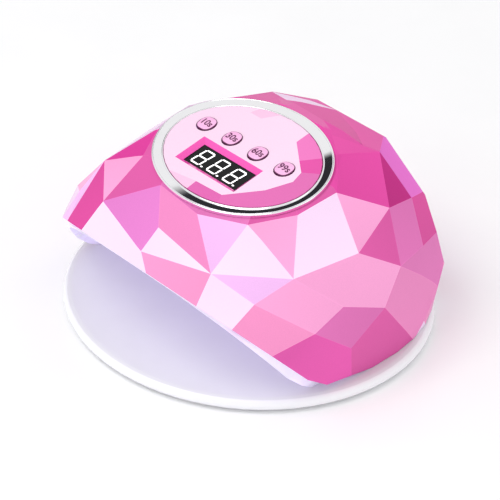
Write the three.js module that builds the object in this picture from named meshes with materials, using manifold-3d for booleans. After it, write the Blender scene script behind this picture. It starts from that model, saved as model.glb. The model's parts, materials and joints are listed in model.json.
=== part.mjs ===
// UV LED nail lamp. Millimetres, +Z up, the user sits on the -Y side and puts the hand in along +Y.
// The origin is the middle of the footprint, on the table.
import * as THREE from 'three';
import { ConvexGeometry } from 'three/addons/geometries/ConvexGeometry.js';
import { mergeVertices } from 'three/addons/utils/BufferGeometryUtils.js';
import Module from 'manifold-3d';

const wasm = await Module();
wasm.setup();

// ---------- driving dimensions ----------
const GAP = 0.3; // air between neighbouring pieces
const BASE_HALF_X = 110; // base plate, an ellipse
const BASE_HALF_Y = 101;
const BASE_BOTTOM = 1;
const BASE_TOP = 8;
const FOOT_RADIUS = 7;
const LAMP_BOTTOM = BASE_TOP + GAP;
// The mouth is an arch in a slanted plane, y = foot - slope * (z - BASE_TOP).
// The liner's plane is steeper, so its feet stand out in front of the shell's.
const SHELL_LIP = { foot: -33, slope: 0.92, half: 101, rise: 59, power: 2.4 };
const LINER_LIP = { foot: -42, slope: 0.76, half: 92.5, rise: 56, power: 2.6 };
const SHELL_WALL = 2.6;
const LINER_WALL = 2;
const PANEL_Y = -3.8; // centre of the control panel on the shell's flat top
const PANEL_Z = 95.8;
const PANEL_TILT = 12; // degrees toward the user
const RING_HALF_X = 57.3;
const RING_HALF_Y = 43.9;
const RING_BAND = 6.4;
const RING_HEIGHT = 2.2;
const PANEL_THICK = 1.6;
const BUTTON_ROW_X = -4.3;
const BUTTON_ROW_Y = 6.1;
const BUTTON_PITCH = 21.3;
const BUTTON_RADIUS = 5.8;
const BUTTON_TRAVEL = 0.6;
const DISPLAY_X = -4.9;
const DISPLAY_Y = -12.7;
const DISPLAY_WIDE = 42.5;
const DISPLAY_DEEP = 15.7;
const BOARD_THICK = 1.6;
const BUTTON_NAMES = ['10s', '30s', '60s', '99s'];

// ---------- materials ----------
const look = (color, roughness, metalness = 0) =>
  new THREE.MeshStandardMaterial({ color, roughness, metalness });
const PINK = '#ee86c8';
const PALE_PINK = '#f8d8ee';
const WHITE = '#f1f0f4';
const LINER_WHITE = '#e9e4fb';
const CHROME = '#d9dcdf';
const BOARD_GREEN = '#2f6b45';
const BOARD_WHITE = '#e8e6d8';
const ALUMINIUM = '#c3c7cb';
const MAGNET_STEEL = '#b9bcc0';
const SCREW_STEEL = '#8f9398';
const BLACK = '#17171a';
const RUBBER = '#2b2b2e';
const DARK_GREY = '#303034';

const lamp = new THREE.Group();
lamp.name = 'uv_led_nail_lamp';

const add = (name, geometry, color, roughness, metalness) => {
  const mesh = new THREE.Mesh(geometry, look(color, roughness, metalness));
  mesh.name = name;
  lamp.add(mesh);
};

// ---------- booleans ----------
const solid = (geometry) => {
  const bare = geometry.clone();
  bare.deleteAttribute('normal');
  bare.deleteAttribute('uv');
  const merged = mergeVertices(bare, 1e-4);
  const vertProperties = new Float32Array(merged.attributes.position.array);
  const triVerts = new Uint32Array(merged.index.array);
  return new wasm.Manifold(new wasm.Mesh({ numProp: 3, vertProperties, triVerts }));
};

const surface = (body) => {
  const mesh = body.getMesh();
  const geometry = new THREE.BufferGeometry();
  geometry.setAttribute('position', new THREE.BufferAttribute(new Float32Array(mesh.vertProperties), 3));
  geometry.setIndex(new THREE.BufferAttribute(new Uint32Array(mesh.triVerts), 1));
  geometry.computeVertexNormals();
  return geometry;
};

const cut = (first, ...tools) =>
  surface(tools.reduce((left, tool) => left.subtract(solid(tool)), solid(first)));
const join = (first, ...rest) =>
  surface(rest.reduce((sum, part) => sum.add(solid(part)), solid(first)));
const common = (first, second) => surface(solid(first).intersect(solid(second)));

// ---------- small shapes ----------
const radians = THREE.MathUtils.degToRad;

// a box standing on z
const box = (wide, deep, high, x, y, z) =>
  new THREE.BoxGeometry(wide, deep, high).translate(x, y, z + high / 2);

// a cylinder standing on z
const rod = (radius, high, x, y, z, sides = 16) =>
  new THREE.CylinderGeometry(radius, radius, high, sides)
    .rotateX(Math.PI / 2)
    .translate(x, y, z + high / 2);

// a solid of revolution about +Z from [radius, height] pairs
const turned = (pairs, sides = 32) =>
  new THREE.LatheGeometry(pairs.map(([r, z]) => new THREE.Vector2(r, z)), sides).rotateX(Math.PI / 2);

// an upright prism over an ellipse
const ovalPlate = (halfX, halfY, thick, z, options = {}) => {
  const outline = new THREE.Shape();
  outline.absellipse(0, 0, halfX, halfY, 0, 2 * Math.PI);
  if (options.hole) {
    const hole = new THREE.Path();
    hole.absellipse(0, 0, options.hole[0], options.hole[1], 0, 2 * Math.PI, true);
    outline.holes.push(hole);
  }
  const round = options.round ?? 0;
  const settings = {
    depth: thick - 2 * round,
    curveSegments: options.segments ?? 40,
    bevelEnabled: round > 0,
    bevelThickness: round,
    bevelSize: round,
    bevelOffset: -round,
    bevelSegments: 2,
  };
  return new THREE.ExtrudeGeometry(outline, settings).translate(0, 0, z + round);
};

// from the control panel's own frame (z along its normal, 0 on the shell's flat top) to the lamp's
const onPanel = (geometry) =>
  geometry.rotateX(radians(PANEL_TILT)).translate(0, PANEL_Y, PANEL_Z);

// ---------- the dome ----------
// Facet corners on the right flank, from the front to the back; the left flank mirrors them.
const FLANK_CORNERS = [
  [74, -60, 63], [97, -39, 47], [97, -20, 55], [103, -19, 32], [86, 2, 74], [103, 6, 46],
  [95, 25, 60], [76, 34, 84], [88, 49, 59], [70, 57, 77], [76, 72, 52], [98, 36, 32],
  [44, 58, 95], [28, 78, 89], [62, 76, 68], [48, 91, 50], [28, 98, 30], [82, 73, 34], [58, 88, 28],
];
// Corners near the middle, where the two sides differ.
const FRONT_CORNERS = [
  [-80, -66, 50], [-86, -52, 58], [-72, -43, 77], [-40, -69, 76], [3, -66, 79], [49, -68, 74],
  [79, -38, 72],
];
const BACK_CORNERS = [[0, 92, 66]];
const TOP_CORNERS = 12; // the flat top is a regular polygon, stretched like the ring
const TOP_SPREAD = 1.07;
const RIM_HALF_X = 101; // the shell's lower edge
const RIM_HALF_Y = 98;
const RIM_POWER = 2.35;
const RIM_FRONT = -20; // behind this the lower edge lies flat on the base
const RIM_STEP = 9; // degrees
const LIP_STEP = 11;
const LIP_LAST = 77; // degrees from the middle of the arch to where the lip's corner starts to round off
const CORNER_ROUND = [99.6, -32, 12];

const signedPower = (value, power) => Math.sign(value) * Math.abs(value) ** power;
const mirror = ([x, y, z]) => [-x, y, z];
const hull = (points) => new ConvexGeometry(points.map((p) => new THREE.Vector3(...p)));

// a point of an upright wall's outline, a slightly squared ellipse
const wallPoint = (halfX, halfY, degrees, z = 0) => [
  halfX * signedPower(Math.cos(radians(degrees)), 2 / RIM_POWER),
  halfY * signedPower(Math.sin(radians(degrees)), 2 / RIM_POWER),
  z,
];

const wallRing = (halfX, halfY, z, front, centreY = 0) => {
  const points = [];
  for (let degrees = 0; degrees < 360; degrees += RIM_STEP) {
    const [x, y] = wallPoint(halfX, halfY, degrees);
    if (y + centreY >= front) points.push([x, y + centreY, z]);
  }
  return points;
};

// the arch of a mouth in its own plane; degrees run from the middle of the arch to its feet
const lipPoint = (lip, degrees, inset = 0) => {
  const z = BASE_TOP + (lip.rise - inset) * Math.cos(radians(degrees));
  const x = (lip.half - inset) * signedPower(Math.sin(radians(degrees)), 2 / lip.power);
  return [x, lip.foot - lip.slope * (z - BASE_TOP), z];
};

const lipArch = (lip, last, inset = 0) => {
  const points = [lipPoint(lip, 0, inset)];
  for (let degrees = LIP_STEP; degrees <= last; degrees += LIP_STEP) {
    points.push(lipPoint(lip, degrees, inset), lipPoint(lip, -degrees, inset));
  }
  return points;
};

// push points out of a mouth, square to its plane
const outOfMouth = (lip, points, distance) => {
  const normal = new THREE.Vector3(0, -1, -lip.slope).normalize().multiplyScalar(distance);
  return points.map(([x, y, z]) => [x, y + normal.y, z + normal.z]);
};

const topCorners = () => {
  const corners = [];
  for (let i = 0; i < TOP_CORNERS; i += 1) {
    const turn = ((i + 0.5) / TOP_CORNERS) * 2 * Math.PI;
    const across = RING_HALF_Y * TOP_SPREAD * Math.sin(turn);
    corners.push([
      RING_HALF_X * TOP_SPREAD * Math.cos(turn),
      PANEL_Y + across * Math.cos(radians(PANEL_TILT)),
      PANEL_Z + across * Math.sin(radians(PANEL_TILT)),
    ]);
  }
  return corners;
};

const domeUpper = [
  ...FLANK_CORNERS,
  ...FLANK_CORNERS.map(mirror),
  ...FRONT_CORNERS,
  ...BACK_CORNERS,
  ...topCorners(),
  ...lipArch(SHELL_LIP, LIP_LAST),
  CORNER_ROUND,
  mirror(CORNER_ROUND),
];
const domeRim = wallRing(RIM_HALF_X, RIM_HALF_Y, LAMP_BOTTOM, RIM_FRONT);
const domeOutside = hull([...domeUpper, ...domeRim]);

// the hollow: the same corners drawn in by the wall's thickness, and sunk below the lower edge
const DOME_REACH = [104, 100, 97];
const RIM_SUNK = 2;
const inward = (points) =>
  points.map((point) => point.map((value, axis) => value * (1 - SHELL_WALL / DOME_REACH[axis])));
const hollowRim = inward(domeRim).map(([x, y, z]) => [x, y, z - RIM_SUNK]);
const domeInside = hull([...inward(domeUpper), ...hollowRim]);

// a prism through the shell's lip plane, shaped like the arch and open at the bottom
const mouth = (inset, inside, outside) => {
  const feet = [90, -90].map((degrees) => lipPoint(SHELL_LIP, degrees, inset));
  const sunk = feet.map(([x, y, z]) => [x, y + SHELL_LIP.slope * BASE_TOP, z - BASE_TOP]);
  const outline = [...lipArch(SHELL_LIP, 88, inset), ...sunk];
  return hull([
    ...outOfMouth(SHELL_LIP, outline, -inside),
    ...outOfMouth(SHELL_LIP, outline, outside),
  ]);
};

// ---------- the liner's form ----------
// [half x, half y, z, centre y] from the flange to the flat roof
const ROOF_Z = 72;
const LINER_RINGS = [
  [92.5, 89, LAMP_BOTTOM, 0], [93.5, 90, 30, 0], [90.5, 87, 46, 0],
  [81, 77, 58, 1], [68, 64, 66, 2], [50, 46, ROOF_Z, 3],
];
const FLANGE_THICK = 2.6;
const FLANGE_HALF_X = 98;
const FLANGE_HALF_Y = 95;
const FOOT_POINTS = [[92.2, -36, LAMP_BOTTOM], [91.8, -43, 12.5]]; // each foot of the arch is rounded
const INNER_FOOT = [LINER_LIP.half - LINER_WALL, -50, 5];
const BEHIND_LIP = 3;
const linerForm = (inset) =>
  LINER_RINGS.flatMap(([halfX, halfY, z, centreY]) => {
    const level = z === ROOF_Z ? z - inset : z;
    const lipY = LINER_LIP.foot - LINER_LIP.slope * (z - BASE_TOP);
    const front = z === LAMP_BOTTOM ? RIM_FRONT : lipY + BEHIND_LIP + inset;
    return wallRing(halfX - inset, halfY - inset, level, front, centreY);
  });
const linerOutside = hull([
  ...linerForm(0),
  ...lipArch(LINER_LIP, LIP_LAST),
  ...FOOT_POINTS,
  ...FOOT_POINTS.map(mirror),
]);
const linerInside = hull([
  ...linerForm(LINER_WALL),
  ...wallRing(LINER_RINGS[0][0] - LINER_WALL, LINER_RINGS[0][1] - LINER_WALL, INNER_FOOT[2], RIM_FRONT),
  ...outOfMouth(LINER_LIP, lipArch(LINER_LIP, LIP_LAST, LINER_WALL), 1),
  INNER_FOOT,
  mirror(INNER_FOOT),
]);

// ---------- places on the walls ----------
// set a piece that faces +X on the liner's wall: turned to the wall's normal and moved to its outline
const onWall = (geometry, degrees, halfX, halfY, z) => {
  const [x, y] = wallPoint(halfX, halfY, degrees);
  const slopeX = Math.abs(x / halfX) ** (RIM_POWER - 1) / halfX;
  const slopeY = Math.abs(y / halfY) ** (RIM_POWER - 1) / halfY;
  const turn = Math.atan2(Math.sign(y) * slopeY, Math.sign(x) * slopeX);
  return geometry.clone().rotateZ(turn).translate(x, y, z);
};
const SCREW_ANGLES = [8, 50, 130, 172];
const MAGNET_ANGLES = [22, 74, 106, 158];
const WALL_BOARD_ANGLES = [3, 33, 62, 90, 118, 147, 177];
const WALL_BOARD_Z = 31;
const SCREW_LINE = [96.2, 92.9]; // the screws' line on the flange
const MAGNET_LINE = [95.2, 91.9];
const WALL_BOARD_LINE = [94.3, 90.8];

// ---------- outer shell ----------
const PANEL_HOLE_X = 46;
const PANEL_HOLE_Y = 33.6;
const JACK_Z = 58;
const JACK_FACE_Y = 93.5;
const boss = box(9, 5.2, 12, 2.4, 0, LAMP_BOTTOM + FLANGE_THICK + GAP);
const bosses = SCREW_ANGLES.map((degrees) =>
  common(onWall(boss, degrees, ...SCREW_LINE, 0), domeOutside));
const pilots = SCREW_ANGLES.map((degrees) =>
  onWall(rod(1.3, 10, 0, 0, 10), degrees, ...SCREW_LINE, 0));
const alongY = (geometry, y, z) => geometry.rotateX(-Math.PI / 2).translate(0, y, z);
const jackBoss = common(alongY(rod(8.5, 14, 0, 0, 0, 32), 86, JACK_Z), domeOutside);
const hollowShell = cut(
  domeOutside,
  domeInside,
  mouth(SHELL_WALL, 5, 8),
  onPanel(ovalPlate(PANEL_HOLE_X, PANEL_HOLE_Y, 20, -12, { segments: 24 })),
);
add(
  'outer_shell',
  cut(
    join(hollowShell, ...bosses, jackBoss),
    ...pilots,
    alongY(rod(6.6, 20, 0, 0, 0, 32), JACK_FACE_Y, JACK_Z),
    alongY(rod(4.4, 30, 0, 0, 0, 24), 80, JACK_Z),
  ),
  PINK, 0.25,
);

// ---------- base plate, feet and magnets ----------
const baseProfile = [
  [0, BASE_BOTTOM], [104.5, BASE_BOTTOM], [108.4, 1.8], [BASE_HALF_X, 3.6], [BASE_HALF_X, 5],
  [109.2, 6.7], [107.4, 7.7], [104.8, BASE_TOP], [0, BASE_TOP],
];
const FEET = [[-70, -58], [70, -58], [-70, 58], [70, 58]];
const FOOT_TOP = 2.6;
const BASE_MAGNET_RADIUS = 4;
const BASE_MAGNET_THICK = 2;
const LAMP_MAGNET_RADIUS = 2;
const footPockets = FEET.map(([x, y]) => rod(FOOT_RADIUS + GAP, FOOT_TOP + GAP, x, y, 0));
const magnetPocket = rod(BASE_MAGNET_RADIUS + GAP, 5, 0, 0, BASE_TOP - BASE_MAGNET_THICK - GAP);
const magnetPockets = MAGNET_ANGLES.map((degrees) => onWall(magnetPocket, degrees, ...MAGNET_LINE, 0));
add(
  'base_plate',
  cut(turned(baseProfile, 72).scale(1, BASE_HALF_Y / BASE_HALF_X, 1), ...footPockets, ...magnetPockets),
  WHITE, 0.4,
);
FEET.forEach(([x, y], i) => add(`foot_${i + 1}`, rod(FOOT_RADIUS, FOOT_TOP, x, y, 0), RUBBER, 0.9));
const baseMagnet = rod(BASE_MAGNET_RADIUS, BASE_MAGNET_THICK, 0, 0, BASE_TOP - BASE_MAGNET_THICK);
const lampMagnet = rod(LAMP_MAGNET_RADIUS, 1.5, 0, 0, LAMP_BOTTOM);
MAGNET_ANGLES.forEach((degrees, i) => {
  add(`base_magnet_${i + 1}`, onWall(baseMagnet, degrees, ...MAGNET_LINE, 0), MAGNET_STEEL, 0.3, 1);
  add(`lamp_magnet_${i + 1}`, onWall(lampMagnet, degrees, ...MAGNET_LINE, 0), MAGNET_STEEL, 0.3, 1);
});

// ---------- inner liner ----------
const BEAD_RADIUS = 2.6;
const BEAD_HOLE = BEAD_RADIUS + 0.6;
const WALL_BOARD_HIGH = 9;
const WALL_BEADS = [-12, 0, 12];
const ROOF_BEADS_X = [-32, -16, 0, 16, 32];
const ROOF_BEADS_Y = [-22, -6, 10];
const ROOF_BOARD_Z = ROOF_Z + GAP;
const SENSOR = [8, 2];
const POSTS = [[-28, 25.5], [28, 25.5], [-28, 46.5], [28, 46.5]];
const POWER_BOARD_Z = 76.5;
const POWER_SCREWS = [POSTS[0], POSTS[3]];
const wallHoles = WALL_BOARD_ANGLES.flatMap((degrees) =>
  WALL_BEADS.map((side) => {
    const hole = rod(BEAD_HOLE, 12, 0, 0, -12, 8).rotateY(Math.PI / 2);
    const placed = hole.translate(0, side, WALL_BOARD_HIGH / 2);
    return onWall(placed, degrees, ...WALL_BOARD_LINE, WALL_BOARD_Z);
  }),
);
const roofHoles = ROOF_BEADS_X.flatMap((x) =>
  ROOF_BEADS_Y.map((y) => rod(BEAD_HOLE, 8, x, y, ROOF_Z - 4, 8)));
const flange = hull([
  ...wallRing(FLANGE_HALF_X, FLANGE_HALF_Y, LAMP_BOTTOM, RIM_FRONT),
  ...wallRing(FLANGE_HALF_X, FLANGE_HALF_Y, LAMP_BOTTOM + FLANGE_THICK, RIM_FRONT),
]);
const POST_FOOT_Z = 70.6; // inside the roof's thickness
const posts = POSTS.map(([x, y]) => rod(2.5, POWER_BOARD_Z - GAP - POST_FOOT_Z, x, y, POST_FOOT_Z));
const screwHole = rod(1.5, 8, 0, 0, LAMP_BOTTOM - 3, 12);
const lampMagnetPocket = rod(LAMP_MAGNET_RADIUS + GAP, 4.8, 0, 0, LAMP_BOTTOM - 3);
add(
  'inner_liner',
  cut(
    join(linerOutside, flange, ...posts),
    linerInside,
    ...wallHoles,
    ...roofHoles,
    rod(1.9, 8, SENSOR[0], SENSOR[1], ROOF_Z - 4, 12),
    ...POWER_SCREWS.map(([x, y]) => rod(1.3, 6, x, y, 72.4, 12)),
    ...SCREW_ANGLES.map((degrees) => onWall(screwHole, degrees, ...SCREW_LINE, 0)),
    ...MAGNET_ANGLES.map((degrees) => onWall(lampMagnetPocket, degrees, ...MAGNET_LINE, 0)),
  ),
  LINER_WHITE, 0.35,
);

// ---------- UV LED boards ----------
// bead pointing down from z = 0
const bead = turned([[0, -3.4], [1.7, -3], [BEAD_RADIUS, -1.8], [BEAD_RADIUS, 0.3], [0, 0.3]], 8);
const wallBoard = join(
  box(1.2, 34, WALL_BOARD_HIGH, 0.6, 0, 0),
  ...WALL_BEADS.map((side) => bead.clone().rotateY(Math.PI / 2).translate(0, side, WALL_BOARD_HIGH / 2)),
);
WALL_BOARD_ANGLES.forEach((degrees, i) => {
  const board = onWall(wallBoard, degrees, ...WALL_BOARD_LINE, WALL_BOARD_Z);
  add(`led_board_wall_${i + 1}`, board, BOARD_WHITE, 0.5);
});
add(
  'led_board_roof',
  join(
    box(78, 44, BOARD_THICK, 0, -6, ROOF_BOARD_Z),
    ...ROOF_BEADS_X.flatMap((x) => ROOF_BEADS_Y.map((y) => bead.clone().translate(x, y, ROOF_BOARD_Z))),
  ),
  BOARD_WHITE, 0.5,
);
add('hand_sensor', rod(1.5, 3, SENSOR[0], SENSOR[1], ROOF_Z - 3), BLACK, 0.3);

// ---------- power board ----------
const HEAT_SINK_FIN = 5.5;
const CAPACITOR = [-20, 38];
const INDUCTOR = [19, 38];
const partsZ = POWER_BOARD_Z + BOARD_THICK + GAP;
add(
  'power_board',
  cut(
    box(64, 28, BOARD_THICK, 0, 36, POWER_BOARD_Z),
    ...POWER_SCREWS.map(([x, y]) => rod(1.3, 6, x, y, POWER_BOARD_Z - 2, 12)),
  ),
  BOARD_GREEN, 0.5,
);
add('capacitor', rod(5, 14, CAPACITOR[0], CAPACITOR[1], partsZ), DARK_GREY, 0.4);
add(
  'inductor',
  new THREE.TorusGeometry(4.6, 2.4, 8, 14).translate(INDUCTOR[0], INDUCTOR[1], partsZ + 2.4),
  '#a4582c', 0.5,
);
add(
  'heat_sink',
  cut(
    box(20, 10, 12, 0, 34, partsZ),
    ...[-1, 0, 1].map((step) => box(3, 12, 12, step * HEAT_SINK_FIN, 34, partsZ + 2.5)),
  ),
  ALUMINIUM, 0.4, 1,
);
const screw = (headRadius, headHigh, shankRadius, shank) => {
  const shankProfile = [[0, -shank], [shankRadius, -shank], [shankRadius, 0]];
  return turned([...shankProfile, [headRadius, 0], [headRadius, headHigh], [0, headHigh]], 10);
};
POWER_SCREWS.forEach(([x, y], i) =>
  add(`power_screw_${i + 1}`, screw(2.4, 1.5, 1, 5).translate(x, y, partsZ), SCREW_STEEL, 0.35, 1));

// ---------- screws from below, through the flange into the shell ----------
SCREW_ANGLES.forEach((degrees, i) => {
  const upward = screw(1.2, 0.2, 1, 9).rotateX(Math.PI).translate(0, 0, LAMP_BOTTOM + 0.2);
  add(`shell_screw_${i + 1}`, onWall(upward, degrees, ...SCREW_LINE, 0), SCREW_STEEL, 0.35, 1);
});

// ---------- DC inlet ----------
const inlet = turned([
  [0, 1], [3.8, 1], [3.8, 12.5], [6, 12.5], [6, 14], [2.9, 14], [2.9, 3], [1, 3], [1, 12], [0, 12.5],
], 12);
add('dc_inlet', alongY(inlet, JACK_FACE_Y + GAP - 12.5, JACK_Z), BLACK, 0.45);

// ---------- bezel ring and control panel, in the panel's frame ----------
const PANEL_HALF_X = RING_HALF_X - RING_BAND - GAP;
const PANEL_HALF_Y = RING_HALF_Y - RING_BAND - GAP;
const PANEL_TOP = GAP + PANEL_THICK;
const RECESS_BEVEL = 3;
const RECESS_FLOOR = -0.5;
const WINDOW_THICK = 1;
const BOARD_TOP = -7.3;
const PANEL_POSTS = [[-34, -13], [25, -13], [-25.6, 11.6], [17, 11.6]];
const buttonX = (i) => BUTTON_ROW_X + (i - 1.5) * BUTTON_PITCH;

add(
  'bezel_ring',
  onPanel(
    ovalPlate(RING_HALF_X, RING_HALF_Y, RING_HEIGHT, GAP, {
      hole: [RING_HALF_X - RING_BAND, RING_HALF_Y - RING_BAND],
      round: 1.2,
      segments: 20,
    }),
  ),
  CHROME, 0.08, 1,
);

const framed = (grow, z) => [-1, 1].flatMap((sideX) => [-1, 1].map((sideY) => [
  DISPLAY_X + sideX * (DISPLAY_WIDE / 2 + grow),
  DISPLAY_Y + sideY * (DISPLAY_DEEP / 2 + grow),
  z,
]));
const recess = hull([...framed(0, RECESS_FLOOR - 0.01), ...framed(RECESS_BEVEL, PANEL_TOP + 0.01)]);
const collar = box(
  DISPLAY_WIDE + 6, DISPLAY_DEEP + 6, GAP + 1 - RECESS_FLOOR, DISPLAY_X, DISPLAY_Y, RECESS_FLOOR);
add(
  'control_panel',
  onPanel(
    cut(
      join(
        ovalPlate(PANEL_HALF_X, PANEL_HALF_Y, PANEL_THICK, GAP, { segments: 20 }),
        collar,
        ...PANEL_POSTS.map(([x, y]) => rod(2.2, 7.8, x, y, BOARD_TOP + GAP, 16)),
      ),
      recess,
      ...BUTTON_NAMES.map((name, i) => rod(BUTTON_RADIUS + GAP, 10, buttonX(i), BUTTON_ROW_Y, -4, 20)),
      ...PANEL_POSTS.map(([x, y]) => rod(1.1, 6, x, y, BOARD_TOP - 1, 12)),
    ),
  ),
  PALE_PINK, 0.2,
);
const windowZ = RECESS_FLOOR - GAP - WINDOW_THICK;
add(
  'display_window',
  onPanel(box(DISPLAY_WIDE + 4, DISPLAY_DEEP + 4, WINDOW_THICK, DISPLAY_X, DISPLAY_Y, windowZ)),
  BLACK, 0.06,
);
add(
  'display_module',
  onPanel(box(38, 17, windowZ - BOARD_TOP - 2 * GAP, DISPLAY_X, DISPLAY_Y, BOARD_TOP + GAP)),
  DARK_GREY, 0.4,
);

// ---------- control board ----------
add(
  'control_board',
  onPanel(
    cut(
      box(78, 40, BOARD_THICK, -4, -3, BOARD_TOP - BOARD_THICK),
      ...PANEL_POSTS.map(([x, y]) => rod(1.2, 6, x, y, BOARD_TOP - 3, 12)),
    ),
  ),
  BOARD_GREEN, 0.5,
);
PANEL_POSTS.forEach(([x, y], i) => {
  const upward = screw(2, 1.3, 0.8, 6).rotateX(Math.PI).translate(x, y, BOARD_TOP - BOARD_THICK - GAP);
  add(`board_screw_${i + 1}`, onPanel(upward), SCREW_STEEL, 0.35, 1);
});

// ---------- timer buttons and their switches ----------
const SWITCH_TOP = -3.6;
const PLUNGER_FOOT = -5;
const STEM_FOOT = -2.3;
const PLUNGER_RADIUS = 1.6;
const buttonProfile = [
  [0, STEM_FOOT], [1.8, STEM_FOOT], [1.8, -1], [6.7, -1], [6.7, 0], [BUTTON_RADIUS, 0],
  [BUTTON_RADIUS, 2.2], [5.4, 2.6], [4.6, 2.8], [0, 2.9],
];
BUTTON_NAMES.forEach((name, i) => {
  const place = (geometry) => onPanel(geometry.translate(buttonX(i), BUTTON_ROW_Y, 0));
  add(`button_${name}`, place(turned(buttonProfile, 20)), '#f3a6dc', 0.3);
  const plunger = rod(PLUNGER_RADIUS, STEM_FOOT - 0.1 - PLUNGER_FOOT, 0, 0, PLUNGER_FOOT);
  add(`plunger_${name}`, place(plunger), BOARD_WHITE, 0.5);
  const body = box(6, 6, SWITCH_TOP - BOARD_TOP - GAP, 0, 0, BOARD_TOP + GAP);
  const well = rod(PLUNGER_RADIUS + GAP, 4, 0, 0, PLUNGER_FOOT - BUTTON_TRAVEL - GAP);
  add(`switch_${name}`, place(cut(body, well)), DARK_GREY, 0.5);
});

// ---------- wire looms between the boards ----------
const loom = (name, points) => {
  const path = new THREE.CatmullRomCurve3(points.map((p) => new THREE.Vector3(...p)));
  const section = new THREE.Shape().absarc(0, 0, 1.2, 0, 2 * Math.PI);
  const settings = { steps: 10, curveSegments: 2, bevelEnabled: false, extrudePath: path };
  add(name, new THREE.ExtrudeGeometry(section, settings), DARK_GREY, 0.7);
};
loom('loom_inlet', [[0, 81.6, JACK_Z], [0, 77, 62], [4, 68, 74], [8, 58, 82], [8, 48, 80.5]]);
loom('loom_panel', [[28, 27, 79.8], [32, 20, 84], [32, 14, 86.5], [31, 10, 86]]);
loom('loom_leds', [[-34, 24, 77.3], [-38, 24, 77.3], [-44, 20, 77], [-44, 10, 75.5], [-36, 8, 75.4]]);

export default lamp;
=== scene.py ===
"""UV LED nail lamp: the looks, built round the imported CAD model.

Lengths in this file are in millimetres, unless a name ends in _M; MM turns them into Blender's metres.
"""
import json
import math
import random

import bmesh
import bpy
from mathutils import Matrix, Vector


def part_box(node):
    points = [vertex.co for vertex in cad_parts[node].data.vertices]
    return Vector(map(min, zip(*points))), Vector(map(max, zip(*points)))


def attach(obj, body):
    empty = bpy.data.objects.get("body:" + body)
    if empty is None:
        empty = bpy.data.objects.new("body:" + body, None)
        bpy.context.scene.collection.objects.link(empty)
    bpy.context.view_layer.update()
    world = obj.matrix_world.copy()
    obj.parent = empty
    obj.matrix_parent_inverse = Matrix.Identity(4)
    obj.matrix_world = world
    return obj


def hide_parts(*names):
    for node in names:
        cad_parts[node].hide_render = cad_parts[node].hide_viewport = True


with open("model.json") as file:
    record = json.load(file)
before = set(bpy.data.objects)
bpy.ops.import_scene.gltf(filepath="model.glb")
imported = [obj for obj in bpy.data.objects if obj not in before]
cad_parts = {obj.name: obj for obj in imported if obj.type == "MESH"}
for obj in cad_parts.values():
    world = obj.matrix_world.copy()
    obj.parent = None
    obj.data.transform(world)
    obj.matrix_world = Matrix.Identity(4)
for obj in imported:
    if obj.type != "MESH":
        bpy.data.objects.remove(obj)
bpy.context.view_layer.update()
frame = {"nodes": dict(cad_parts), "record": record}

MM = 0.001
JOINTS = frame["record"]["behaviour"]["joints"]
BUTTONS = ("10s", "30s", "60s", "99s")


# ---------- camera, lights and floor ----------
CAMERA_AZIMUTH = math.radians(48.5)
CAMERA_ELEVATION = math.radians(33.7)
CAMERA_DISTANCE_M = 1.28
CAMERA_TARGET_M = Vector((0.0019, 0.0, 0.0349))
CAMERA_LENS = 165


def sight(azimuth, elevation):
    """The direction from the object to an eye at that azimuth and elevation."""
    flat = math.cos(elevation)
    return Vector((math.sin(azimuth) * flat, -math.cos(azimuth) * flat, math.sin(elevation)))


def add_camera():
    data = bpy.data.cameras.new("camera")
    data.lens = CAMERA_LENS
    camera = bpy.data.objects.new("camera", data)
    toward = sight(CAMERA_AZIMUTH, CAMERA_ELEVATION)
    camera.location = CAMERA_TARGET_M + toward * CAMERA_DISTANCE_M
    camera.rotation_euler = toward.to_track_quat("Z", "Y").to_euler()
    bpy.context.collection.objects.link(camera)
    bpy.context.scene.camera = camera


def add_softbox(name, azimuth, elevation, distance, size, watts, color=(1, 1, 1)):
    data = bpy.data.lights.new(name, "AREA")
    data.shape = "DISK"
    data.size = size
    data.energy = watts
    data.color = color
    light = bpy.data.objects.new(name, data)
    toward = sight(math.radians(azimuth), math.radians(elevation))
    light.location = toward * distance
    light.rotation_euler = toward.to_track_quat("Z", "Y").to_euler()
    bpy.context.collection.objects.link(light)


FLAG_TOWARD = Vector((-0.846, 0.352, 0.394))  # where the dark flag stands, seen from the object
FLAG_EDGE = (0.941, 0.952)  # the cosines at which its edge starts and ends
FLAG_COLOR = (0.03, 0.03, 0.035, 1)
TENT_STRENGTH = 0.88


def add_studio():
    """A white tent with one dark flag low behind the object, which the chrome and the gloss pick up."""
    world = bpy.data.worlds.new("studio")
    world.use_nodes = True
    bpy.context.scene.world = world
    nodes, links = world.node_tree.nodes, world.node_tree.links
    nodes.clear()
    out = nodes.new("ShaderNodeOutputWorld")
    light = nodes.new("ShaderNodeBackground")
    direction = nodes.new("ShaderNodeTexCoord")
    flag = nodes.new("ShaderNodeVectorMath")
    flag.operation = "DOT_PRODUCT"
    flag.inputs[1].default_value = FLAG_TOWARD.normalized()
    edge = nodes.new("ShaderNodeValToRGB")
    edge.color_ramp.elements[0].position = FLAG_EDGE[0]
    edge.color_ramp.elements[0].color = (1, 1, 1, 1)
    edge.color_ramp.elements[1].position = FLAG_EDGE[1]
    edge.color_ramp.elements[1].color = FLAG_COLOR
    light.inputs["Strength"].default_value = TENT_STRENGTH
    links.new(direction.outputs["Generated"], flag.inputs[0])
    links.new(flag.outputs["Value"], edge.inputs["Fac"])
    links.new(edge.outputs["Color"], light.inputs["Color"])
    links.new(light.outputs["Background"], out.inputs["Surface"])
    add_softbox("key_light", -20, 62, 1.6, 0.9, 6)
    add_softbox("fill_light", 100, 35, 1.8, 1.2, 1.5)
    add_softbox("mouth_light", -15, 14, 1.7, 0.9, 2.5)


FLOOR_HALF_M = 4.0


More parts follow.
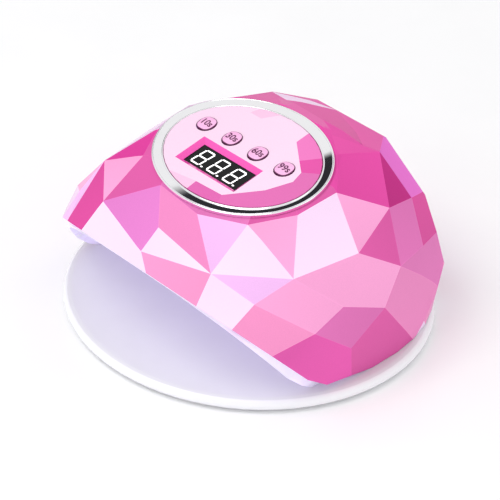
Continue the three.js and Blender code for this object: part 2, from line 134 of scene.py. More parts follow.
def add_floor(material):
    mesh = bpy.data.meshes.new("floor")
    half = FLOOR_HALF_M
    corners = [(-half, -half, 0), (half, -half, 0), (half, half, 0), (-half, half, 0)]
    mesh.from_pydata(corners, [], [(0, 1, 2, 3)])
    floor = bpy.data.objects.new("floor", mesh)
    bpy.context.collection.objects.link(floor)
    mesh.materials.append(material)


# ---------- materials ----------
def linear(rgb):
    """A display colour of 0 to 255 as the renderer's linear colour."""
    unit = [value / 255 for value in rgb]
    return tuple(c / 12.92 if c <= 0.04045 else ((c + 0.055) / 1.055) ** 2.4 for c in unit)


class Paint:
    """A node material: a principled shader whose colour, gloss and relief vary by procedural noise."""

    def __init__(self, name, rgb, roughness=0.4, metallic=0.0, **sockets):
        self.material = bpy.data.materials.new(name)
        self.material.use_nodes = True
        self.nodes = self.material.node_tree.nodes
        self.links = self.material.node_tree.links
        self.shader = self.nodes["Principled BSDF"]
        self.position = self.nodes.new("ShaderNodeTexCoord").outputs["Object"]
        self.set("Base Color", (*linear(rgb), 1))
        self.set("Roughness", roughness)
        self.set("Metallic", metallic)
        for socket, value in sockets.items():
            self.set(socket.replace("_", " "), value)
        self.rgb = rgb
        self.roughness = roughness

    def set(self, socket, value):
        self.shader.inputs[socket].default_value = value

    def noise(self, size, detail=3.0, squeeze=(1, 1, 1)):
        """Noise whose blobs are about that many millimetres across."""
        placed = self.nodes.new("ShaderNodeMapping")
        placed.inputs["Scale"].default_value = squeeze
        self.links.new(self.position, placed.inputs["Vector"])
        noise = self.nodes.new("ShaderNodeTexNoise")
        noise.inputs["Scale"].default_value = 1 / (size * MM)
        noise.inputs["Detail"].default_value = detail
        self.links.new(placed.outputs["Vector"], noise.inputs["Vector"])
        return noise.outputs["Fac"]

    def ramp(self, factor, low, high, start=0.3, end=0.7):
        ramp = self.nodes.new("ShaderNodeValToRGB")
        ramp.color_ramp.elements[0].position = start
        ramp.color_ramp.elements[0].color = (*low, 1)
        ramp.color_ramp.elements[1].position = end
        ramp.color_ramp.elements[1].color = (*high, 1)
        self.links.new(factor, ramp.inputs["Fac"])
        return ramp.outputs["Color"]

    def mottle(self, size, spread):
        """The colour drifts lighter and darker by that share."""
        base = linear(self.rgb)
        low = [c * (1 - spread) for c in base]
        high = [min(1, c * (1 + spread)) for c in base]
        self.links.new(self.ramp(self.noise(size), low, high), self.shader.inputs["Base Color"])
        return self

    def smudge(self, size, spread):
        """The gloss drifts, as handled plastic and metal do."""
        gloss = self.nodes.new("ShaderNodeMapRange")
        gloss.inputs["To Min"].default_value = max(0.02, self.roughness - spread)
        gloss.inputs["To Max"].default_value = self.roughness + spread
        self.links.new(self.noise(size, 4), gloss.inputs["Value"])
        self.links.new(gloss.outputs["Result"], self.shader.inputs["Roughness"])
        return self

    def grain(self, size, depth, squeeze=(1, 1, 1), strength=0.5):
        """Fine relief, such as moulded texture or a brushed surface."""
        bump = self.nodes.new("ShaderNodeBump")
        bump.inputs["Distance"].default_value = depth * MM
        bump.inputs["Strength"].default_value = strength
        self.links.new(self.noise(size, 2, squeeze), bump.inputs["Height"])
        self.links.new(bump.outputs["Normal"], self.shader.inputs["Normal"])
        return self

    def printed(self, attribute):
        """The colour is printed on: it comes from the mesh's own colour attribute, with a faint fleck."""
        tint = self.nodes.new("ShaderNodeVertexColor")
        tint.layer_name = attribute
        fleck = self.ramp(self.noise(0.5, 4), (0.955, 0.955, 0.955), (1.0, 1.0, 1.0), 0.35, 0.65)
        mix = self.nodes.new("ShaderNodeMix")
        mix.data_type = "RGBA"
        mix.blend_type = "MULTIPLY"
        mix.inputs["Factor"].default_value = 1.0
        self.links.new(tint.outputs["Color"], mix.inputs["A"])
        self.links.new(fleck, mix.inputs["B"])
        self.links.new(mix.outputs["Result"], self.shader.inputs["Base Color"])
        return self


def make_materials():
    gloss = {"Coat_Weight": 0.25, "Coat_Roughness": 0.06, "Specular_IOR_Level": 0.3}
    soft_gloss = {"Coat_Roughness": 0.06, "Specular_IOR_Level": 0.05}
    # painted light: the liner is no lamp, but this faint lavender emission lifts the shade inside the mouth
    # and under the canopy
    painted_liner_light = {"Emission_Color": (*linear((236, 222, 250)), 1), "Emission_Strength": 0.24}
    bead = {"Emission_Color": (*linear((150, 110, 255)), 1), "Emission_Strength": 1.2}
    digit = {"Emission_Color": (1, 1, 1, 1), "Emission_Strength": 1.0}
    return {
        "floor": Paint("floor", (250, 250, 251), 0.7).mottle(60, 0.01).grain(2, 0.02),
        "facets": Paint("facet_print", (238, 134, 200), 0.22, **soft_gloss).printed("print").smudge(9, 0.04),
        "inside": Paint("shell_inside", (236, 214, 232), 0.5).mottle(12, 0.03).grain(0.8, 0.02),
        "base_top": Paint("base_top", (226, 226, 230), 0.38).mottle(30, 0.015)
            .smudge(14, 0.05).grain(0.5, 0.012),
        "base_rim": Paint("base_rim", (243, 243, 247), 0.25, **gloss).mottle(25, 0.01).smudge(10, 0.04),
        "liner": Paint("liner", (236, 230, 250), 0.28, **painted_liner_light).mottle(20, 0.02)
            .smudge(8, 0.05).grain(0.9, 0.01),
        "rubber": Paint("foot_rubber", (34, 34, 36), 0.85).mottle(1.5, 0.15).grain(0.4, 0.05),
        "magnet": Paint("magnet_nickel", (188, 190, 194), 0.25, 1.0).mottle(2, 0.06).smudge(1.5, 0.08),
        "led_board": Paint("led_board", (232, 230, 220), 0.45).mottle(5, 0.04).grain(0.3, 0.02),
        "bead": Paint("led_lens", (205, 190, 250), 0.12, **bead).mottle(1, 0.05).smudge(1, 0.03),
        "black": Paint("black_plastic", (24, 24, 27), 0.45).mottle(2, 0.12).grain(0.4, 0.03),
        "board": Paint("board_green", (34, 92, 58), 0.35, **gloss).mottle(3, 0.1).grain(0.6, 0.02),
        "sleeve": Paint("capacitor_sleeve", (30, 34, 44), 0.25).mottle(3, 0.1).smudge(3, 0.06),
        "copper": Paint("copper_winding", (176, 98, 54), 0.3, 1.0).mottle(1, 0.12).grain(0.5, 0.1, (1, 1, 6)),
        "aluminium": Paint("heat_sink_metal", (198, 202, 206), 0.35, 1.0).mottle(4, 0.04)
            .grain(0.3, 0.02, (8, 1, 1)),
        "screw": Paint("screw_steel", (150, 153, 158), 0.3, 1.0).mottle(1, 0.1).grain(0.2, 0.02),
        "chrome": Paint("ring_chrome", (250, 250, 252), 0.04, 1.0).mottle(8, 0.01).smudge(6, 0.02),
        "panel": Paint("panel_print", (250, 215, 238), 0.16, **gloss).printed("print").smudge(9, 0.04),
        "window": Paint("window_black", (7, 7, 9), 0.08, Specular_IOR_Level=0.2)
            .mottle(10, 0.1).smudge(7, 0.02),
        "digit": Paint("digit_white", (250, 250, 250), 0.3, **digit).mottle(0.6, 0.03),
        "button": Paint("button_pink", (250, 186, 230), 0.2, **gloss).mottle(4, 0.03).smudge(3, 0.05),
        "plum": Paint("button_edge", (92, 28, 76), 0.3, **gloss).mottle(1, 0.1).smudge(1, 0.05),
        "plunger": Paint("plunger_white", (230, 228, 220), 0.4).mottle(1, 0.05).grain(0.3, 0.02),
        "wire": Paint("wire_sleeve", (40, 40, 46), 0.6).mottle(1, 0.15).grain(0.4, 0.04),
    }


# ---------- pieces ----------
def welded(node):
    """A node's mesh with its doubled corners joined."""
    shape = bmesh.new()
    shape.from_mesh(frame["nodes"][node].data)
    bmesh.ops.remove_doubles(shape, verts=shape.verts, dist=0.001 * MM)
    return shape


def piece(name, shape, materials, body, slot, *nodes):
    """Turns a bmesh into a piece of the object that rides on a body and stands for CAD nodes."""
    mesh = bpy.data.meshes.new(name)
    shape.to_mesh(mesh)
    shape.free()
    item = bpy.data.objects.new(name, mesh)
    bpy.context.collection.objects.link(item)
    for material in materials:
        mesh.materials.append(material)
    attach(item, body)
    if nodes:
        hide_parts(*nodes)
    return item


def smooth(item, degrees):
    """Smooth shading that stays crisp along edges sharper than that angle."""
    item.data.shade_smooth()
    item.data.set_sharp_from_angle(angle=math.radians(degrees))


def rounded(item, width, segments=2, degrees=30):
    """Softens the edges of a moulded piece."""
    bevel = item.modifiers.new("bevel", "BEVEL")
    bevel.width = width * MM
    bevel.segments = segments
    bevel.limit_method = "ANGLE"
    bevel.angle_limit = math.radians(degrees)


def squared(value, power):
    return math.copysign(abs(value) ** (2 / power), value)


def ringed(profile, steps, place, half_x, half_y, close=True, power=2.0):
    """A profile of [inset, height] pairs swept round an ellipse, which is squarer at a higher power."""
    shape = bmesh.new()
    rows = []
    for step in range(steps):
        turn = 2 * math.pi * step / steps
        across = Vector((math.cos(turn) / half_x, math.sin(turn) / half_y, 0)).normalized()
        rim = Vector((half_x * squared(math.cos(turn), power), half_y * squared(math.sin(turn), power), 0))
        row = [shape.verts.new(place @ ((rim - across * inset + Vector((0, 0, height))) * MM))
               for inset, height in profile]
        rows.append(row)
    count = len(profile)
    for step in range(steps):
        first, second = rows[step], rows[(step + 1) % steps]
        for i in range(count if close else count - 1):
            j = (i + 1) % count
            shape.faces.new((first[i], second[i], second[j], first[j]))
    bmesh.ops.recalc_face_normals(shape, faces=shape.faces)
    return shape


# ---------- the printed facets ----------
# Where the facets of the print meet on the dome, seen from the front right.
CORNERS = {
    "L1": (-72, -43, 77), "L2": (-41, -69, 76), "L3": (-61, -82, 55), "L4": (-42, -88, 60),
    "L5": (-47, -35, 88), "L6": (-57, -16, 93), "L7": (-76, -22, 78), "L8": (-82, -3, 76),
    "F1": (-19, -46, 87), "F2": (3, -66, 79), "F3": (5, -80, 71), "F4": (28, -91, 61),
    "F5": (15, -49, 86), "F6": (43, -38, 88), "F7": (49, -69, 74), "F8": (53, -86, 57),
    "F9": (71, -79, 49), "F10": (73, -60, 63), "F11": (79, -38, 72), "F12": (59, -17, 93),
    "R1": (88, -67, 37), "R2": (97, -39, 47), "R3": (103, -18, 31), "R4": (97, -19, 55),
    "R5": (103, 6, 46), "R6": (86, 2, 74), "R7": (95, 25, 60), "R8": (61, 9, 97),
    "R9": (76, 34, 84), "R10": (69, 58, 77), "R11": (88, 49, 59), "R12": (76, 72, 52),
    "R13": (83, 67, 21), "R14": (97, 36, 7), "R15": (100, -14, 5), "R16": (94, -58, 18),
    "T1": (44, 57, 95), "T2": (26, 78, 89), "T3": (60, 76, 69), "T4": (37, 51, 98),
    "T5": (-12, 78, 89), "T6": (-44, 57, 95), "T7": (-26, 52, 99), "T8": (-43, 30, 102),
    "T9": (5, 51, 101), "T10": (40, 29, 103), "T11": (-58, 9, 99),
    "P1": (-31, -29, 90), "P2": (13, -40, 88), "P3": (37, -29, 90), "P4": (50, -12, 94),
    "P5": (49, 10, 99), "P6": (32, 28, 103), "P7": (-50, -14, 93),
}
TONES = {
    "pale": (251, 221, 250), "lilac": (241, 188, 241), "mauve": (240, 208, 238), "blush": (250, 167, 215),
    "rose": (245, 150, 200), "candy": (238, 140, 196), "orchid": (228, 130, 205), "dusk": (226, 120, 186),
    "hot": (235, 98, 180), "berry": (222, 96, 168), "violet": (233, 100, 206), "magenta": (220, 68, 156),
    "cerise": (227, 78, 165), "wine": (192, 42, 130),
}
FACETS = (
    ("L1 L2 L4 L3", "magenta"), ("L1 L6 L5", "magenta"), ("L1 L5 L2", "blush"), ("L2 L5 P1 F1", "berry"),
    ("L5 L6 P7 P1", "berry"), ("L1 L7 L6", "mauve"), ("L7 L8 T11 L6", "mauve"), ("L8 T6 T8 T11", "mauve"),
    ("L4 L2 F3 F4", "pale"), ("L2 F1 F2 F3", "orchid"), ("F1 F5 F7 F2", "candy"), ("F5 F6 F7", "lilac"),
    ("F2 F7 F3", "pale"), ("F3 F7 F8 F4", "rose"), ("F7 F10 F9 F8", "pale"), ("F7 F11 F10", "lilac"),
    ("F6 F11 F7", "pale"), ("F6 F12 F11", "blush"), ("F12 R8 R6 F11", "pale"),
    ("F1 P1 P2 F5", "dusk"), ("F5 P2 P3 F6", "dusk"), ("F6 P3 P4 F12", "berry"), ("F12 P4 P5 R8", "berry"),
    ("F10 F11 R4 R2", "blush"), ("F9 F10 R2 R1", "rose"), ("F11 R6 R7 R5 R4", "blush"),
    ("R4 R5 R3 R2", "dusk"), ("R1 R2 R3 R15 R16", "hot"), ("R3 R5 R14 R15", "berry"),
    ("R5 R7 R13 R14", "candy"), ("R7 R11 R12 R13", "dusk"), ("R6 R9 R7", "berry"),
    ("R9 R10 R11 R7", "dusk"), ("R10 T3 R12 R11", "magenta"), ("R8 R9 R6", "blush"),
    ("R8 T10 T1 R9", "cerise"), ("P5 P6 T10 R8", "cerise"), ("T10 T9 T4 T1", "cerise"),
    ("T7 T5 T4 T9", "magenta"), ("T5 T2 T1 T4", "cerise"), ("T1 T2 T3 R10", "violet"),
    ("T1 R10 R9", "wine"), ("T8 T6 T7", "magenta"), ("T6 T5 T7", "mauve"),
)
DOME_MIDDLE = Vector((0, 0, 20)) * MM
HIDDEN_TONES = ("blush", "rose", "orchid", "pale", "dusk", "berry", "lilac", "cerise", "candy")
LEFT_TONES = ("mauve", "pale", "mauve", "lilac", "blush")
CROWN_TONES = ("cerise", "magenta")
SEAM = 0.22  # the width of the fine line along each facet
SEAM_SHADE = 1.06
EDGE_TONE = (226, 150, 214)
OUTWARD = 0.35  # a face of the outer skin looks away from the middle at least this much
INWARD = -0.2
SKIN_FROM = 50  # the outer skin is at least this far from the middle
LEFT_OF = -40
LEFT_FRONT_OF = 30
CROWN_RIGHT_OF = -35
CROWN_ABOVE = 90
BACK_FROM = 20


class Facet:
    """One printed facet: its corners, its outline as seen from the print's eye, and its tone."""

    def __init__(self, corners, rgb, eye, chance):
        self.corners = corners
        self.tone = Vector(linear(rgb))
        self.eye = eye
        self.axis = (sum(corners, Vector()) / len(corners) - eye).normalized()
        self.side = self.axis.orthogonal().normalized()
        self.up = self.axis.cross(self.side)
        self.outline = [self.flat(corner) for corner in corners]
        turn = chance.uniform(0, 2 * math.pi)
        self.drift = self.side * math.cos(turn) + self.up * math.sin(turn)
        self.middle = sum(corners, Vector()) / len(corners)
        self.reach = max((corner - self.middle).length for corner in corners)

    def flat(self, point):
        ray = point - self.eye
        depth = ray.dot(self.axis)
        return (ray.dot(self.side) / depth, ray.dot(self.up) / depth) if depth > 1e-9 else None

    def seams(self):
        """A plane just inside each side, as a point and the normal that points into the facet."""
        planes = []
        for first, second in zip(self.corners, self.corners[1:] + self.corners[:1]):
            normal = (first - self.eye).cross(second - self.eye).normalized()
            if (self.middle - self.eye).dot(normal) < 0:
                normal = -normal
            planes.append((self.eye + normal * SEAM * MM, normal))
        return planes

    def holds(self, point):
        spot = self.flat(point)
        if spot is None:
            return False
        inside = False
        for (ax, ay), (bx, by) in zip(self.outline, self.outline[1:] + self.outline[:1]):
            if (ay > spot[1]) != (by > spot[1]) and spot[0] < ax + (spot[1] - ay) * (bx - ax) / (by - ay):
                inside = not inside
        return inside

    def shade(self, point, spread=0.055):
        """The tone at a point: it drifts from one side of the facet to the other."""
        drift = (point - self.middle).dot(self.drift) / self.reach
        return self.tone * (1 + spread * max(-1, min(1, drift)))


def slice_faces(shape, faces, point, normal):
    """Cuts only those faces by a plane, and gives back the faces they have become."""
    geometry = set(faces)
    for face in faces:
        geometry.update(face.verts)
        geometry.update(face.edges)
    cut = bmesh.ops.bisect_plane(shape, geom=list(geometry), plane_co=point, plane_no=normal, dist=0.002 * MM)
    return [item for item in cut["geom"] if isinstance(item, bmesh.types.BMFace)]


def score(shape, faces_of, facets):
    """Cuts the outside faces along every side of every facet."""
    sides = {}
    for facet in facets:
        ring = facet.corners
        for first, second in zip(ring, ring[1:] + ring[:1]):
            key = tuple(sorted((tuple(first), tuple(second))))
            sides[key] = (first, second, facet.eye)
    for first, second, eye in sides.values():
        middle = ((first + second) / 2 - eye).normalized()
        half = middle.angle((first - eye).normalized())
        near = []
        for face in faces_of(shape):
            center = face.calc_center_median() - eye
            spread = max(center.angle(vert.co - eye) for vert in face.verts)
            if center.angle(middle) < half * 1.01 + spread:
                near.append(face)
        slice_faces(shape, near, eye, (first - eye).cross(second - eye).normalized())


def held_faces(shape, faces_of, facets):
    """The outside faces of each facet; a face that no facet holds goes with the nearest one."""
    groups = {facet: [] for facet in facets}
    for face in faces_of(shape):
        center = face.calc_center_median()
        owner = next((facet for facet in facets if facet.holds(center)), None)
        if owner is None:
            owner = min(facets, key=lambda facet: (facet.middle - center).length)
        groups[owner].append(face)
    return {facet: faces for facet, faces in groups.items() if faces}


def print_facets(shape, faces_of, facets):
    """Cuts and colours the outside, with a fine seam along each facet, and lists each face's normal."""
    score(shape, faces_of, facets)
    for facet, faces in held_faces(shape, faces_of, facets).items():
        for point, normal in facet.seams():
            faces = slice_faces(shape, faces, point, normal)
    layer = shape.loops.layers.float_color.new("print")
    normals = {}
    for facet, faces in held_faces(shape, faces_of, facets).items():
        normal = sum((face.normal * face.calc_area() for face in faces), Vector()).normalized()
        seams = facet.seams()
        for face in faces:
            center = face.calc_center_median()
            on_seam = any((center - point).dot(inward) < 0 for point, inward in seams)
            normals[face] = normal
            for loop in face.loops:
                color = facet.shade(loop.vert.co) * (SEAM_SHADE if on_seam else 1.0)
                loop[layer] = (*[min(1.0, c) for c in color], 1)
    return normals


def hidden_facets(outside, facets, chance):
    """The dome's own flat faces, for the sides that the listed facets don't reach."""
    whole = welded("outer_shell")
    bmesh.ops.dissolve_limit(whole, angle_limit=math.radians(1), verts=whole.verts, edges=whole.edges)
    found = []
    for face in outside(whole):
        center = face.calc_center_median()
        left = center.x < LEFT_OF * MM and center.y < LEFT_FRONT_OF * MM
        crown = center.x > CROWN_RIGHT_OF * MM and center.z > CROWN_ABOVE * MM
        tone = chance.choice(LEFT_TONES if left else CROWN_TONES if crown else HIDDEN_TONES)
        corners = [vert.co.copy() for vert in face.verts]
        found.append(Facet(corners, TONES[tone], DOME_MIDDLE, chance))
    whole.free()
    return found


def shell_skin(paint):
    """The dome in its facet print: the CAD shell, cut along the facets' sides."""
    chance = random.Random(7)
    points = {name: Vector(place) * MM for name, place in CORNERS.items()}
    facets = [Facet([points[name] for name in names.split()], TONES[tone], DOME_MIDDLE, chance)
              for names, tone in FACETS]
    shape = welded("outer_shell")

    def outside(bm):
        """The faces of the outer skin: they look away from the middle, and aren't a cut edge."""
        found = []
        for face in bm.faces:
            center = face.calc_center_median()
            away = (center - DOME_MIDDLE).normalized()
            if face.normal.dot(away) > OUTWARD and (center - DOME_MIDDLE).length > SKIN_FROM * MM:
                found.append(face)
        return found

    facets += hidden_facets(outside, facets, chance)
    normals = print_facets(shape, outside, facets)
    layer = shape.loops.layers.float_color["print"]
    edge_tone = (*linear(EDGE_TONE), 1)
    shape.faces.ensure_lookup_table()
    shape.faces.index_update()
    by_index = {face.index: normal for face, normal in normals.items() if face.is_valid}
    for face in shape.faces:
        if face.index in by_index:
            continue
        center = face.calc_center_median()
        owner = None
        if center.y > BACK_FROM * MM:
            owner = next((facet for facet in facets if facet.holds(center)), None)
        for loop in face.loops:
            loop[layer] = (*[min(1.0, c) for c in owner.tone], 1) if owner else edge_tone
        toward = (center - DOME_MIDDLE).normalized()
        if face.normal.dot(toward) < INWARD:
            face.material_index = 1
    item = piece("shell_skin", shape, [paint["facets"], paint["inside"]], "lamp", "shell_pink", "outer_shell")
    flatten(item, by_index)


def flatten(item, by_index):
    """Gives each facet one normal all over, so that it reads as one flat pane."""
    mesh = item.data
    mesh.shade_smooth()
    normals = []
    for polygon in mesh.polygons:
        normal = by_index.get(polygon.index, polygon.normal)
        normals.extend([tuple(normal)] * polygon.loop_total)
    mesh.normals_split_custom_set(normals)


# ---------- the control panel's own frame ----------
PRESS = next(joint for joint in JOINTS if joint["name"].startswith("press"))
NORMAL = -Vector(PRESS["axis"]).normalized()
RING_MID_HEIGHT = 1.4
RING_HALF_X = 57.3
RING_HALF_Y = 43.9
RING_BAND = 6.4
PANEL_TOP = 1.9
RECESS_FLOOR = -0.5


def middle(node):
    low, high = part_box(node)
    return (Vector(low) + Vector(high)) / 2


def panel_frame():
    """From the panel's own frame, with z along its normal and 0 on the dome's flat top, to the lamp's."""
    tilt = Matrix.Rotation(math.atan2(-NORMAL.y, NORMAL.z), 4, "X")
    return Matrix.Translation(middle("bezel_ring") - NORMAL * RING_MID_HEIGHT * MM) @ tilt


PANEL = panel_frame()


def on_panel(x, y, z=0.0):
    return PANEL @ (Vector((x, y, z)) * MM)


def in_panel(point):
    return (PANEL.inverted() @ point) / MM


# ---------- bezel ring ----------
def arc(center, radius, start, end, steps):
    """Points of an arc in [inset, height], in degrees."""
    turns = [math.radians(start + (end - start) * i / steps) for i in range(steps + 1)]
    return [(center[0] + radius * math.cos(t), center[1] + radius * math.sin(t)) for t in turns]


def bezel_ring(paint):
    """A plated ring: a bead along each edge, and a band between them that slopes in to the panel."""
    profile = [(0.0, 0.3), *arc((0.45, 1.8), 0.45, 180, 10, 12), (1.0, 1.75), (1.1, 2.35),
               (RING_BAND - 1.0, 1.4), (RING_BAND - 0.9, 1.2), *arc((RING_BAND - 0.4, 1.5), 0.4, 170, 0, 12),
               (RING_BAND, 0.3)]
    shape = ringed(profile, 192, PANEL, RING_HALF_X, RING_HALF_Y)
    item = piece("bezel_trim", shape, [paint["chrome"]], "lamp", "ring_chrome", "bezel_ring")
    smooth(item, 20)


# ---------- control panel ----------
DISPLAY_X = -4.9
DISPLAY_Y = -12.7
DISPLAY_WIDE = 42.5
DISPLAY_DEEP = 15.7
RECESS_BEVEL = 3.0
FLOOR_MARGIN = 0.05
PRINTED_UP = 0.3  # a printed face looks along the panel's normal at least this much
PANEL_EYE = -4000.0  # far below, so that the print's lines run square through the panel
PANEL_TONES = {
    "ground": (251, 216, 240), "soft": (250, 198, 230), "mid": (238, 118, 192), "deep": (228, 74, 166),
    "band": (226, 106, 180), "small": (226, 98, 178), "recess": (246, 88, 184),
}


def display_frame(grow):
    half_x, half_y = DISPLAY_WIDE / 2 + grow, DISPLAY_DEEP / 2 + grow
    signs = ((-1, -1), (1, -1), (1, 1), (-1, 1))
    return [(DISPLAY_X + sx * half_x, DISPLAY_Y + sy * half_y) for sx, sy in signs]


PANEL_FACETS = (
    (display_frame(RECESS_BEVEL), "recess"),
    (((16, 42), (16, 26), (29, 16), (42, 30), (36, 42)), "mid"),
    (((29, 16), (42, 30), (54, 20), (37, 10)), "deep"),
    (((37, 10), (39, 2), (32, -12), (16, -29), (24, -46), (60, -24), (54, 20)), "band"),
    (((-4, -30), (16, -29), (24, -46), (-3, -46)), "small"),
    (((-31, -34), (-4, -30), (-3, -46), (-24, -44)), "soft"),
    (((-24, 28), (-18, 44), (-4, 42), (-15, 28)), "soft"),
)


def control_panel(paint):
    """The fascia in its print, with hot pink walls round the display."""
    chance = random.Random(3)
    eye = on_panel(0, 0, PANEL_EYE)
    facets = [Facet([on_panel(x, y, PANEL_TOP) for x, y in outline], PANEL_TONES[tone], eye, chance)
              for outline, tone in PANEL_FACETS]
    ground = Facet([on_panel(x, y, PANEL_TOP) for x, y in ((-50, -40), (50, -40), (50, 40), (-50, 40))],
                   PANEL_TONES["ground"], eye, chance)
    shape = welded("control_panel")

    def upper(bm):
        """The printed faces: those that look up and lie above the recess's floor."""
        floor = RECESS_FLOOR + FLOOR_MARGIN
        above = [face for face in bm.faces if in_panel(face.calc_center_median()).z > floor]
        return [face for face in above if face.normal.dot(NORMAL) > PRINTED_UP]

    score(shape, upper, facets)
    layer = shape.loops.layers.float_color.new("print")
    for face in shape.faces:
        center = face.calc_center_median()
        facet = next((item for item in facets if item.holds(center)), ground)
        for loop in face.loops:
            loop[layer] = (*[min(1.0, c) for c in facet.shade(loop.vert.co, 0.03)], 1)
    item = piece("panel_fascia", shape, [paint["panel"]], "lamp", "panel_pink", "control_panel")
    smooth(item, 25)


# ---------- display ----------
# The seven bars of a digit: (centre x, centre y, along x) in units of half the digit's width and height.
BARS = (
    (0, 1, True), (0, 0, True), (0, -1, True),
    (-1, 0.5, False), (1, 0.5, False), (-1, -0.5, False), (1, -0.5, False),
)
DIGIT_HALF_X = 3.4
DIGIT_HALF_Y = 5.6
DIGIT_PITCH = 13.0
BAR_HALF = 0.45
BAR_GAP = 0.2
SLANT = 0.12
BAR_THICK = 0.12
POINT_HALF = 0.9
POINT_OUT = 2.3  # from the digit's right side to its decimal point
DIGITS_SHIFT = -0.8
DIGITS_SUNK = 0.3  # below the recess's floor


def bar(shape, x, y, half_long, along_x, height):
    """One lit bar: a thin slab with pointed ends."""
    tip = half_long - BAR_HALF
    outline = [(-half_long, 0), (-tip, -BAR_HALF), (tip, -BAR_HALF),
               (half_long, 0), (tip, BAR_HALF), (-tip, BAR_HALF)]
    if not along_x:
        outline = [(-v, u) for u, v in outline]
    rings = []
    for level in (height, height + BAR_THICK):
        spots = [(x + u + SLANT * (y + v - DISPLAY_Y), y + v, level) for u, v in outline]
        rings.append([shape.verts.new(on_panel(*spot)) for spot in spots])
    low, high = rings
    shape.faces.new(high)
    shape.faces.new(low[::-1])
    for i in range(len(low)):
        j = (i + 1) % len(low)
        shape.faces.new((low[i], low[j], high[j], high[i]))


def display(paint):
    """The black window, and the three digits with their points behind it."""
    window = piece("window_pane", welded("display_window"), [paint["window"]], "lamp", "window_black",
                   "display_window")
    rounded(window, 0.15)
    shape = bmesh.new()
    face_height = RECESS_FLOOR - DIGITS_SUNK
    for digit in (-1, 0, 1):
        center = DISPLAY_X + DIGITS_SHIFT + digit * DIGIT_PITCH
        for x, y, along_x in BARS:
            half = (DIGIT_HALF_X if along_x else DIGIT_HALF_Y / 2) - BAR_GAP
            bar(shape, center + x * DIGIT_HALF_X, DISPLAY_Y + y * DIGIT_HALF_Y, half, along_x, face_height)
        point_x = center + DIGIT_HALF_X + POINT_OUT
        bar(shape, point_x, DISPLAY_Y - DIGIT_HALF_Y, POINT_HALF, True, face_height)
    piece("display_digits", shape, [paint["digit"]], "lamp", "led_board")


# ---------- buttons ----------
BUTTON_RADIUS = 5.5
BUTTON_POWER = 2.5
EDGE_PRINT = 0.5
LABEL_SIZE = 6.0
LABEL_HEIGHT = 2.82


def squareness(x, y):
    """How far out a point is, measured along the cap's squarish outline."""
    return (abs(x) ** BUTTON_POWER + abs(y) ** BUTTON_POWER) ** (1 / BUTTON_POWER)


def button(paint, name):
    """A round cap with a domed top, a dark printed edge and its label."""
    center = in_panel(middle(f"button_{name}"))
    x, y = center.x, center.y
    profile = [(0.0, -1.0), (0.0, 2.05), (0.08, 2.25), (0.25, 2.4), (0.5, 2.5), (0.75, 2.56),
               (1.6, 2.68), (2.8, 2.78), (4.2, 2.83), (BUTTON_RADIUS - 0.05, 2.84)]
    place = PANEL @ Matrix.Translation(Vector((x, y, 0)) * MM)
    shape = ringed(profile, 96, place, BUTTON_RADIUS, BUTTON_RADIUS, close=False, power=BUTTON_POWER)
    bmesh.ops.holes_fill(shape, edges=shape.edges)
    bmesh.ops.recalc_face_normals(shape, faces=shape.faces)
    for face in shape.faces:
        spot = in_panel(face.calc_center_median())
        if squareness(spot.x - x, spot.y - y) > BUTTON_RADIUS - EDGE_PRINT or spot.z < 2:
            face.material_index = 1
    body = f"key_{name}"
    colors = [paint["button"], paint["plum"]]
    item = piece(f"cap_{name}", shape, colors, body, "button_pink", f"button_{name}")
    smooth(item, 40)
    text = bpy.data.curves.new(f"label_{name}", "FONT")
    text.body = name
    text.size = LABEL_SIZE * MM
    text.align_x = "CENTER"
    text.align_y = "CENTER"
    text.extrude = 0.04 * MM
    text.offset = 0.1 * MM
    text.materials.append(paint["plum"])
    label = bpy.data.objects.new(f"label_{name}", text)
    bpy.context.collection.objects.link(label)
    label.matrix_world = PANEL @ Matrix.Translation(Vector((x, y, LABEL_HEIGHT)) * MM)
    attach(label, body)


# ---------- base, liner and small parts ----------
FLAT_UP = 0.99
DEAD_FLAT = 0.999
TOP_BAND = 0.5
LENS_RISE = 0.1  # a lens stands this far proud of its board at least


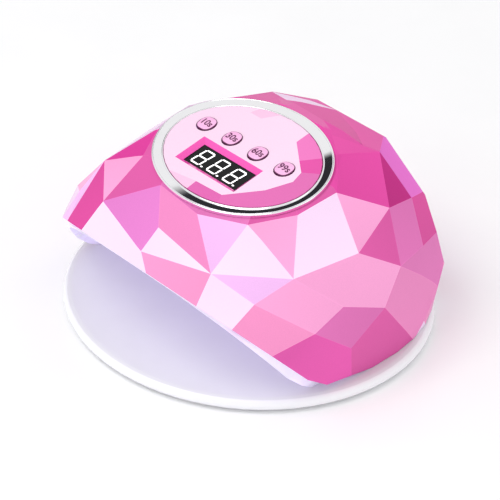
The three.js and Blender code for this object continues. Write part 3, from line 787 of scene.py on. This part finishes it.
def base_plate(paint):
    """The oval plate: a satin top and a glossy rounded rim."""
    shape = welded("base_plate")
    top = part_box("base_plate")[1][2]
    for face in shape.faces:
        level = face.calc_center_median().z
        face.material_index = 0 if face.normal.z > FLAT_UP and level > top - TOP_BAND * MM else 1
    colors = [paint["base_top"], paint["base_rim"]]
    item = piece("base_skin", shape, colors, "base", "base_white", "base_plate")
    smooth(item, 40)
    for polygon in item.data.polygons:
        if polygon.normal.z > DEAD_FLAT:
            polygon.use_smooth = False


def liner(paint):
    # its emission is painted light, lifting the shade inside the mouth and on the base under the canopy
    item = piece("liner_skin", welded("inner_liner"), [paint["liner"]], "lamp", "liner_white", "inner_liner")
    smooth(item, 38)


def led_board(paint, node):
    """A board whose lenses glow: every face that stands proud of the board's own slab."""
    shape = welded(node)
    slab = sorted(shape.faces, key=lambda face: -face.calc_area())[:2]
    center = sum((face.calc_center_median() for face in slab), Vector()) / 2
    normal = slab[0].normal.copy()
    thick = max(abs((face.calc_center_median() - center).dot(normal)) for face in slab)
    for face in shape.faces:
        height = abs((face.calc_center_median() - center).dot(normal))
        face.material_index = 1 if height > thick + LENS_RISE * MM else 0
    item = piece(f"{node}_lit", shape, [paint["led_board"], paint["bead"]], "lamp", "led_board", node)
    smooth(item, 50)


CAD_LOOKS = {
    "foot_rubber": "rubber", "magnet_steel": "magnet", "led_board": "led_board", "black_plastic": "black",
    "board_green": "board", "capacitor_sleeve": "sleeve", "copper_winding": "copper",
    "heat_sink_metal": "aluminium", "screw_steel": "screw", "plunger_white": "plunger", "wire_sleeve": "wire",
}


def dress_cad_nodes(paint):
    """Better materials for the CAD nodes that stay."""
    for part in frame["record"]["subparts"]:
        look = CAD_LOOKS.get(part["material_slot"])
        if look is None:
            continue
        mesh = frame["nodes"][part["node"]].data
        mesh.materials.clear()
        mesh.materials.append(paint[look])


def build():
    bpy.context.scene.view_settings.view_transform = "Standard"
    add_camera()
    add_studio()
    paint = {name: made.material for name, made in make_materials().items()}
    add_floor(paint["floor"])
    dress_cad_nodes(paint)
    shell_skin(paint)
    bezel_ring(paint)
    control_panel(paint)
    display(paint)
    for name in BUTTONS:
        button(paint, name)
    base_plate(paint)
    liner(paint)
    led_board(paint, "led_board_roof")
    for number in range(1, 8):
        led_board(paint, f"led_board_wall_{number}")


build()
